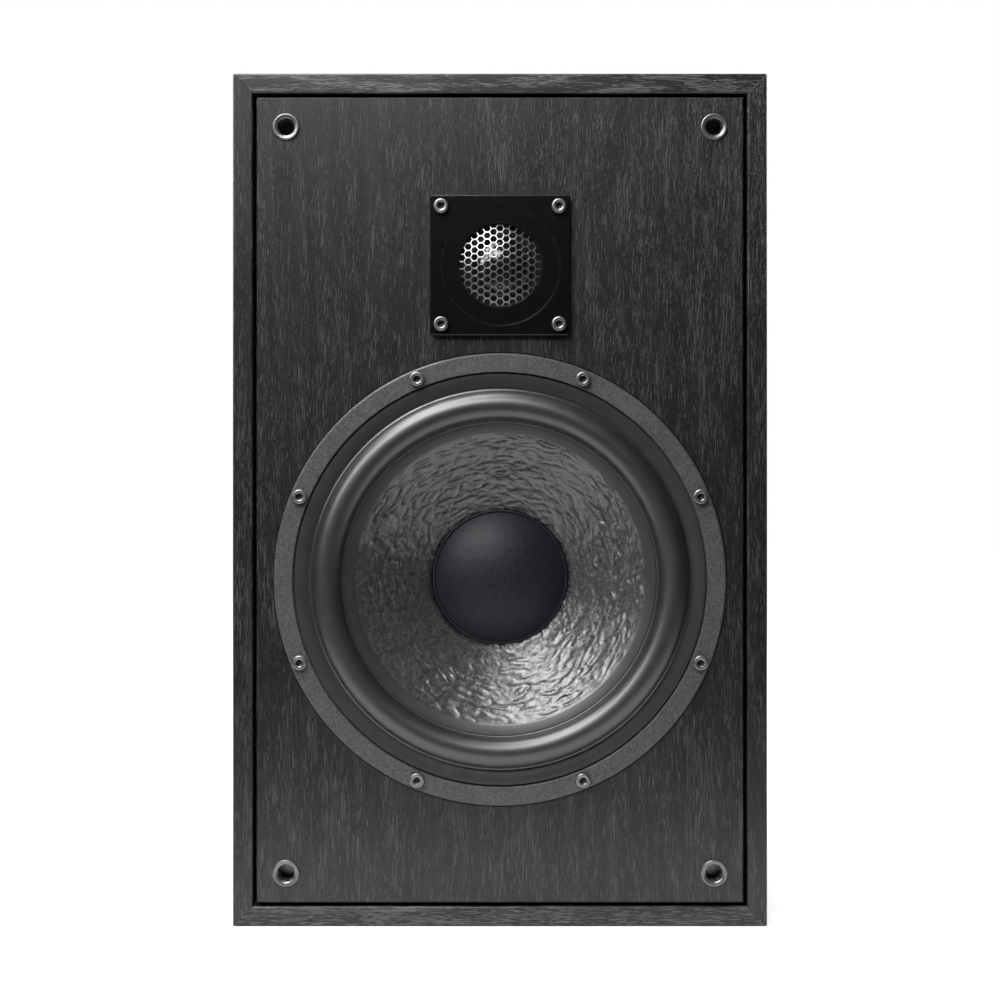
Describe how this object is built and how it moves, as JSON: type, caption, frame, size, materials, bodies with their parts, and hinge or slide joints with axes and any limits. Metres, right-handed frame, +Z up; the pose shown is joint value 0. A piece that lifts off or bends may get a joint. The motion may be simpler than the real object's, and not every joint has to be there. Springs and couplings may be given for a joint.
{
  "type": "bookshelf speaker",
  "caption": "Two-way sealed bookshelf speaker with a framed black wood-grain cabinet, coned woofer, mesh-covered dome tweeter, grille sockets and rear binding posts.",
  "frame": {"origin": "on the surface the speaker stands on, under the middle of its bounding box", "axes": "+Z up, the drivers face -Y, +X to the right as a listener sees the front"},
  "size_m": [0.255, 0.287, 0.407],
  "materials": {
    "black_ash_vinyl": "black wood-grain vinyl foil on board, satin, embossed grain",
    "bare_board": "bare fibreboard",
    "wadding": "loose polyester wadding",
    "blackened_steel": "black oxide steel, slightly oily sheen",
    "black_plastic": "black moulded plastic, fine texture",
    "brass_insert": "turned brass",
    "grey_painted_basket": "dark grey crinkle-textured paint",
    "black_foam": "closed-cell foam gasket",
    "butyl_rubber": "smooth satin butyl rubber",
    "coated_pulp": "wrinkled paper pulp with a glossy coating",
    "coated_pulp_cap": "felted paper pulp, matt",
    "aluminium_former": "thin aluminium sheet",
    "enamelled_copper": "enamelled copper wire, wound",
    "treated_cloth": "resin-treated woven cloth",
    "zinc_plated_steel": "bright zinc plate",
    "ferrite": "ground dark ferrite",
    "phenolic": "brown phenolic board with tinned tabs",
    "tinsel_braid": "braided tinsel",
    "satin_black_plate": "satin black, very fine texture",
    "chromed_mesh": "black-chromed expanded steel mesh",
    "gloss_dome": "coated dome, glossy black",
    "circuit_board": "green circuit board",
    "white_nylon": "natural nylon",
    "capacitor_film": "yellow film wrap",
    "resistor_ceramic": "white ceramic case",
    "gold_plated_brass": "gold-plated, polished",
    "red_plastic": "red moulded plastic",
    "black_knob_plastic": "black moulded plastic",
    "red_pvc": "red PVC insulation",
    "black_pvc": "black PVC insulation"
  },
  "bodies": {
    "cabinet": {"left_board": "black_ash_vinyl", "right_board": "black_ash_vinyl", "top_board": "black_ash_vinyl", "bottom_board": "black_ash_vinyl", "baffle": "black_ash_vinyl", "back_panel": "black_ash_vinyl", "window_brace": "bare_board", "front_cleats": "bare_board", "rear_cleats": "bare_board", "side_wadding": "wadding", "top_wadding": "wadding", "back_screws": "blackened_steel", "grille_sockets": "black_plastic", "threaded_inserts": "brass_insert", "woofer_basket": "grey_painted_basket", "woofer_gasket": "black_foam", "woofer_surround": "butyl_rubber", "woofer_spider": "treated_cloth", "woofer_top_plate": "zinc_plated_steel", "woofer_magnet": "ferrite", "woofer_yoke": "zinc_plated_steel", "woofer_terminals": "phenolic", "woofer_tinsel_leads": "tinsel_braid", "woofer_screws": "blackened_steel", "tweeter_faceplate": "satin_black_plate", "tweeter_gasket": "black_foam", "tweeter_mesh": "chromed_mesh", "tweeter_mount_ring": "black_plastic", "tweeter_surround": "butyl_rubber", "tweeter_top_plate": "zinc_plated_steel", "tweeter_magnet": "ferrite", "tweeter_yoke": "zinc_plated_steel", "tweeter_terminals": "phenolic", "tweeter_screws": "blackened_steel", "crossover_board": "circuit_board", "crossover_standoffs": "white_nylon", "choke_windings": "enamelled_copper", "choke_bobbins": "black_plastic", "crossover_capacitors": "capacitor_film", "crossover_resistors": "resistor_ceramic", "terminal_cup": "black_plastic", "terminal_gasket": "black_foam", "cup_screws": "blackened_steel", "post_lock_nuts": "gold_plated_brass", "red_post": "gold_plated_brass", "black_post": "gold_plated_brass", "red_collar": "red_plastic", "black_collar": "black_knob_plastic", "red_wires": "red_pvc", "black_wires": "black_pvc"},
    "woofer_diaphragm": {"woofer_cone": "coated_pulp", "woofer_dust_cap": "coated_pulp_cap", "woofer_former": "aluminium_former", "woofer_coil": "enamelled_copper"},
    "tweeter_diaphragm": {"tweeter_dome": "gloss_dome", "tweeter_coil": "enamelled_copper"},
    "red_sleeve": {"red_nut": "gold_plated_brass"},
    "red_cap": {"red_knob": "red_plastic"},
    "black_sleeve": {"black_nut": "gold_plated_brass"},
    "black_cap": {"black_knob": "black_knob_plastic"}
  },
  "joints": [
    {"name": "woofer_travel", "type": "slide", "parent": "cabinet", "child": "woofer_diaphragm", "axis": [0, -1, 0], "range_m": [-0.005, 0.005], "stiffness_N_per_m": 1450, "deforming": ["woofer_surround", "woofer_spider", "woofer_tinsel_leads"]},
    {"name": "tweeter_travel", "type": "slide", "parent": "cabinet", "child": "tweeter_diaphragm", "axis": [0, -1, 0], "range_m": [-0.0004, 0.0004], "stiffness_N_per_m": 2500, "deforming": ["tweeter_surround"]},
    {"name": "red_sleeve_travel", "type": "slide", "parent": "cabinet", "child": "red_sleeve", "axis": [0, 1, 0], "range_m": [0, 0.005]},
    {"name": "red_cap_turn", "type": "hinge", "parent": "red_sleeve", "child": "red_cap", "pos_m": [-0.00953, 0.12645, 0.118], "axis": [0, 1, 0], "range_deg": [0, 1800]},
    {"name": "black_sleeve_travel", "type": "slide", "parent": "cabinet", "child": "black_sleeve", "axis": [0, 1, 0], "range_m": [0, 0.005]},
    {"name": "black_cap_turn", "type": "hinge", "parent": "black_sleeve", "child": "black_cap", "pos_m": [0.00953, 0.12645, 0.118], "axis": [0, 1, 0], "range_deg": [0, 1800]}
  ],
  "couplings": [
    {"joint": "red_cap_turn", "follows": "red_sleeve_travel", "rad_per_m": 6283.2},
    {"joint": "black_cap_turn", "follows": "black_sleeve_travel", "rad_per_m": 6283.2}
  ]
}
